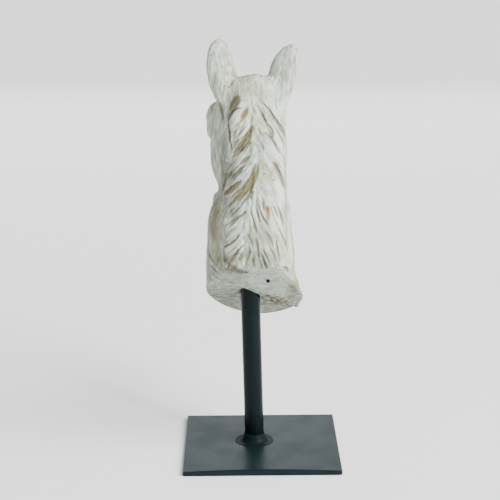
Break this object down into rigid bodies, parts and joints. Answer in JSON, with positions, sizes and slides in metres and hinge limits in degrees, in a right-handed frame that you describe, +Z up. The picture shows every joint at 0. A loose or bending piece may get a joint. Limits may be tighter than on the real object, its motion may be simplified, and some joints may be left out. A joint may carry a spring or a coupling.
{
  "type": "horse head sculpture on stand",
  "caption": "Weathered carved wooden horse head with a locked mane, cut on a slope below the neck, raised on a black steel post welded to a square plate.",
  "frame": {"origin": "centre of the square plate's flat underside", "axes": "+Z up; the horse faces -Y; +X is the horse's left"},
  "size_m": [0.15, 0.207, 0.3977],
  "materials": {
    "carved_wood": "bare carved wood under a worn white and grey-green wash, tan and orange wood in the cuts",
    "black_steel": "satin black powder coat"
  },
  "bodies": {
    "root": {"horse_head": "carved_wood", "post": "black_steel", "weld_bead": "black_steel", "base_plate": "black_steel"}
  },
  "joints": []
}
